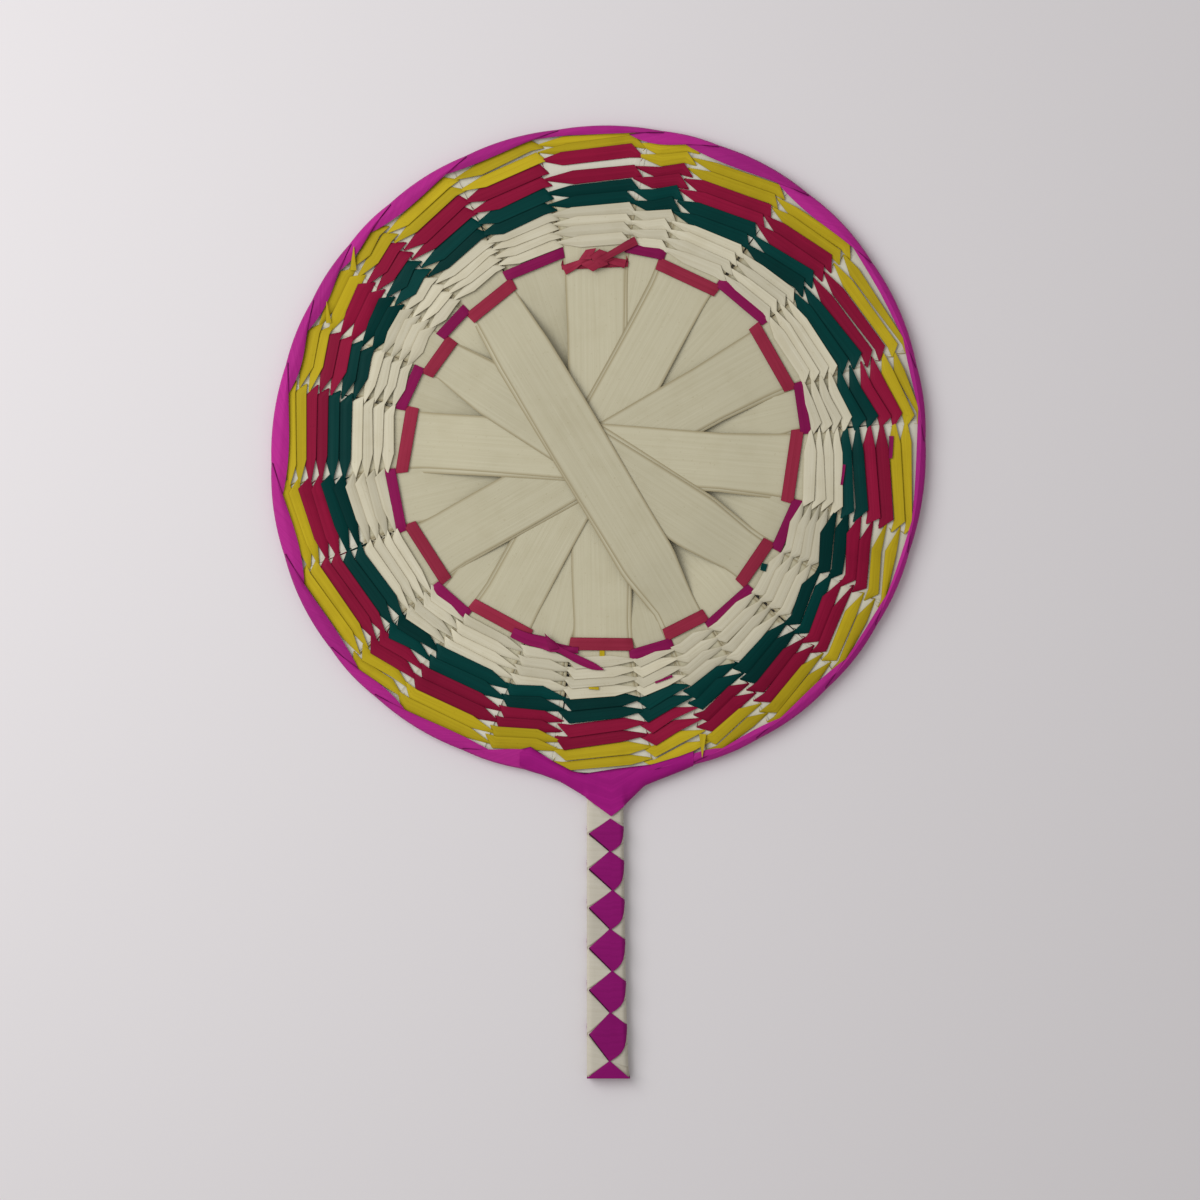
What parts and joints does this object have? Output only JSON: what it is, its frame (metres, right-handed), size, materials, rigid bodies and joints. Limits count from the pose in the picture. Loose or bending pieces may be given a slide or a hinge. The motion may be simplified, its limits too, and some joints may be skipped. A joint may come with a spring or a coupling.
{
  "type": "palm leaf fan",
  "caption": "Round hand fan of crossed palm leaf strips with a twined coloured band, a wound rim and a flat wrapped handle, waved to move air.",
  "frame": {"origin": "under the middle of the fan's length and width, on the surface that it lies on", "axes": "+Y from the end of the handle to the top of the disc, +Z out of the fan's front, +X to the right seen from the front"},
  "size_m": [0.2796, 0.408, 0.007],
  "materials": {
    "cream_leaf": "matt dried palm leaf",
    "magenta_leaf": "dyed palm leaf, satin",
    "red_leaf": "dyed palm leaf, satin",
    "green_leaf": "dyed palm leaf, satin",
    "yellow_leaf": "dyed palm leaf, satin",
    "cane": "split cane"
  },
  "bodies": {
    "root": {"front_spoke_1": "cream_leaf", "front_spoke_2": "cream_leaf", "front_spoke_3": "cream_leaf", "front_spoke_4": "cream_leaf", "front_spoke_5": "cream_leaf", "front_spoke_6": "cream_leaf", "back_spoke_1": "cream_leaf", "back_spoke_2": "cream_leaf", "back_spoke_3": "cream_leaf", "back_spoke_4": "cream_leaf", "back_spoke_5": "cream_leaf", "back_spoke_6": "cream_leaf", "red_lashing": "red_leaf", "magenta_lashing": "magenta_leaf", "cream_strand_1": "cream_leaf", "cream_strand_2": "cream_leaf", "cream_strand_3": "cream_leaf", "cream_strand_4": "cream_leaf", "cream_strand_5": "cream_leaf", "cream_strand_6": "cream_leaf", "cream_strand_7": "cream_leaf", "cream_strand_8": "cream_leaf", "green_strand_1": "green_leaf", "green_strand_2": "green_leaf", "green_strand_3": "green_leaf", "green_strand_4": "green_leaf", "red_strand_1": "red_leaf", "red_strand_2": "red_leaf", "red_strand_3": "red_leaf", "red_strand_4": "red_leaf", "yellow_strand_1": "yellow_leaf", "yellow_strand_2": "yellow_leaf", "yellow_strand_3": "yellow_leaf", "yellow_strand_4": "yellow_leaf", "red_knot": "red_leaf", "magenta_knot": "magenta_leaf", "rim_hoop": "cane", "rim_binding": "magenta_leaf", "handle_core": "cane", "handle_wrap_cream": "cream_leaf", "handle_wrap_magenta": "magenta_leaf", "neck_collar": "magenta_leaf", "handle_end_cap": "magenta_leaf"}
  },
  "joints": []
}
